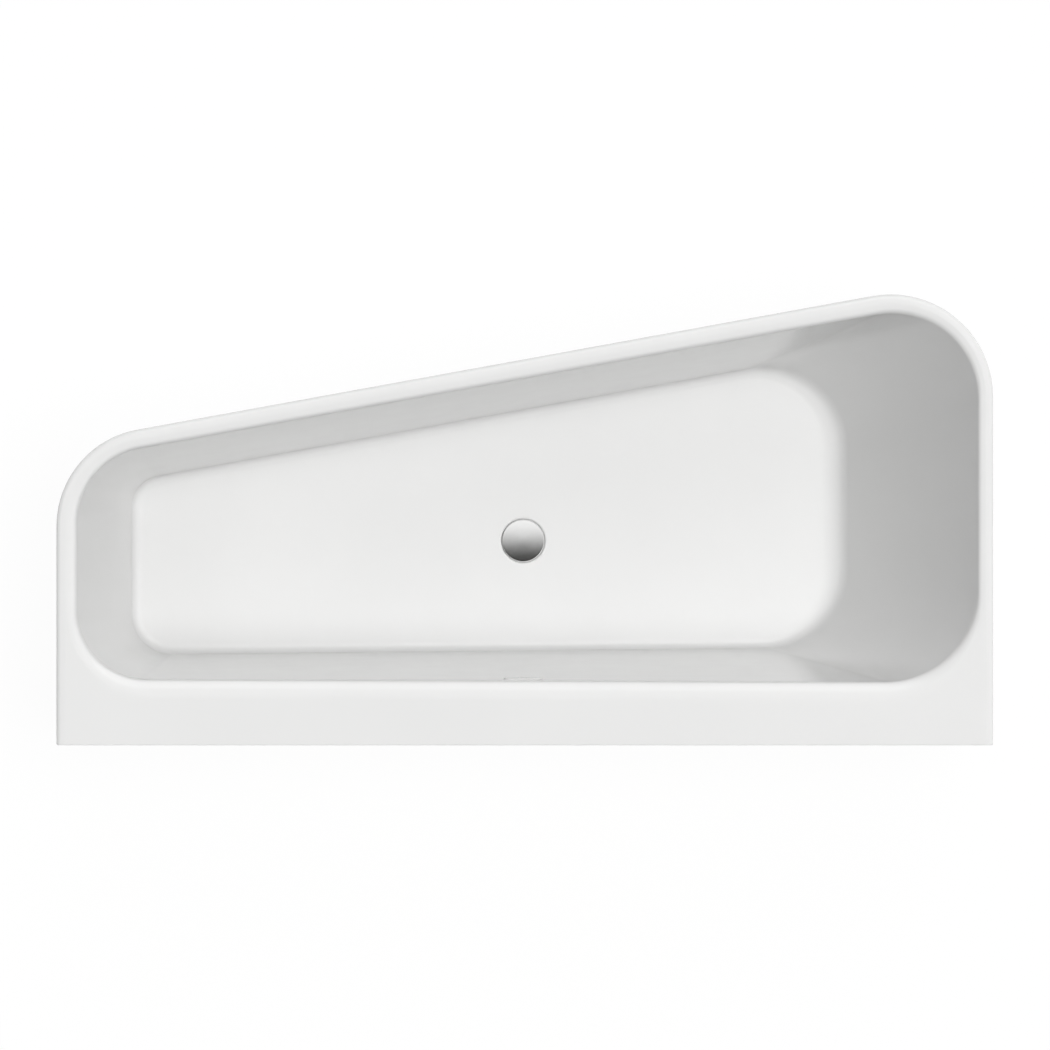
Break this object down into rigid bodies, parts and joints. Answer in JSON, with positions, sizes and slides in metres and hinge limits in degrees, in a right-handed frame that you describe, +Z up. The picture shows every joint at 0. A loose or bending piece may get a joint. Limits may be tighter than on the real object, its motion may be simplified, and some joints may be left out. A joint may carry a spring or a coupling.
{
  "type": "back-to-wall bathtub",
  "caption": "White acrylic back-to-wall bathtub with a slanted free front, a wide reclining end, push-open waste, slot overflow, apron, wall anchors and height-adjustable feet.",
  "frame": {"origin": "on the floor, in the middle of the bounding box", "axes": "+Z up, +Y towards the wall side, -X towards the wide end with the backrest, +X towards the narrow end; the free front faces -Y"},
  "size_m": [1.6, 0.77, 0.58],
  "materials": {
    "white_acrylic": "polished acrylic",
    "white_trim": "moulded gloss",
    "glass_fibre": "rough chopped-strand laminate",
    "chipboard": "raw board",
    "timber": "planed softwood",
    "galvanised_steel": "zinc-plated",
    "screw_steel": "zinc-plated",
    "black_rubber": "matt",
    "black_plastic": "moulded",
    "chrome": "polished chrome plate",
    "brass": "turned",
    "white_plastic": "moulded polypropylene",
    "grey_hose": "ribbed polyethylene",
    "grey_pipe": "extruded"
  },
  "bodies": {
    "bath": {"tub_shell": "white_acrylic", "apron": "white_acrylic", "overflow_cover": "white_trim", "glass_fibre_backing": "glass_fibre", "base_board": "chipboard", "back_batten": "timber", "apron_rib_wide": "timber", "apron_rib_middle": "timber", "apron_rib_narrow": "timber", "cross_rail_wide": "galvanised_steel", "cross_rail_middle": "galvanised_steel", "cross_rail_narrow": "galvanised_steel", "apron_bracket_wide": "galvanised_steel", "apron_bracket_middle": "galvanised_steel", "apron_bracket_narrow": "galvanised_steel", "wall_anchor_wide": "galvanised_steel", "wall_anchor_middle": "galvanised_steel", "wall_anchor_narrow": "galvanised_steel", "foot_weld_nuts": "galvanised_steel", "foot_lock_nuts": "galvanised_steel", "rail_screws": "screw_steel", "rib_screws": "screw_steel", "bracket_bolts": "screw_steel", "anchor_screws": "screw_steel", "rim_pads": "black_rubber", "waste_top_gasket": "black_rubber", "waste_lower_gasket": "black_rubber", "banjo_washer": "black_rubber", "overflow_seal": "black_rubber", "plug_guide": "black_plastic", "waste_flange": "chrome", "overflow_banjo": "white_plastic", "waste_backnut": "white_plastic", "overflow_body": "white_plastic", "overflow_upper_nut": "white_plastic", "overflow_lower_nut": "white_plastic", "overflow_hose": "grey_hose"},
    "plug": {"plug_cap": "chrome", "plug_stem": "brass", "plug_seal": "black_rubber"},
    "trap": {"trap_union_nut": "white_plastic", "trap_union_seal": "black_rubber", "trap_bowl": "white_plastic", "dip_tube": "white_plastic", "cleaning_cap": "white_plastic", "outlet_nut": "white_plastic", "outlet_seal": "black_rubber", "outlet_pipe": "grey_pipe"},
    "foot_wide_front": {"foot_stud_wide_front": "galvanised_steel", "foot_pad_wide_front": "black_plastic"},
    "foot_wide_back": {"foot_stud_wide_back": "galvanised_steel", "foot_pad_wide_back": "black_plastic"},
    "foot_middle_front": {"foot_stud_middle_front": "galvanised_steel", "foot_pad_middle_front": "black_plastic"},
    "foot_middle_back": {"foot_stud_middle_back": "galvanised_steel", "foot_pad_middle_back": "black_plastic"},
    "foot_narrow_front": {"foot_stud_narrow_front": "galvanised_steel", "foot_pad_narrow_front": "black_plastic"},
    "foot_narrow_back": {"foot_stud_narrow_back": "galvanised_steel", "foot_pad_narrow_back": "black_plastic"}
  },
  "joints": [
    {"name": "plug_lift", "type": "slide", "parent": "bath", "child": "plug", "axis": [0, 0, 1], "range_m": [0, 0.009]},
    {"name": "trap_swivel", "type": "hinge", "parent": "bath", "child": "trap", "pos_m": [0.003, 0.037, 0.07], "axis": [0, 0, 1], "range_deg": [-25, 90]},
    {"name": "foot_wide_front_height", "type": "slide", "parent": "bath", "child": "foot_wide_front", "axis": [0, 0, -1], "range_m": [-0.008, 0.025]},
    {"name": "foot_wide_back_height", "type": "slide", "parent": "bath", "child": "foot_wide_back", "axis": [0, 0, -1], "range_m": [-0.008, 0.025]},
    {"name": "foot_middle_front_height", "type": "slide", "parent": "bath", "child": "foot_middle_front", "axis": [0, 0, -1], "range_m": [-0.008, 0.025]},
    {"name": "foot_middle_back_height", "type": "slide", "parent": "bath", "child": "foot_middle_back", "axis": [0, 0, -1], "range_m": [-0.008, 0.025]},
    {"name": "foot_narrow_front_height", "type": "slide", "parent": "bath", "child": "foot_narrow_front", "axis": [0, 0, -1], "range_m": [-0.008, 0.025]},
    {"name": "foot_narrow_back_height", "type": "slide", "parent": "bath", "child": "foot_narrow_back", "axis": [0, 0, -1], "range_m": [-0.008, 0.025]}
  ]
}
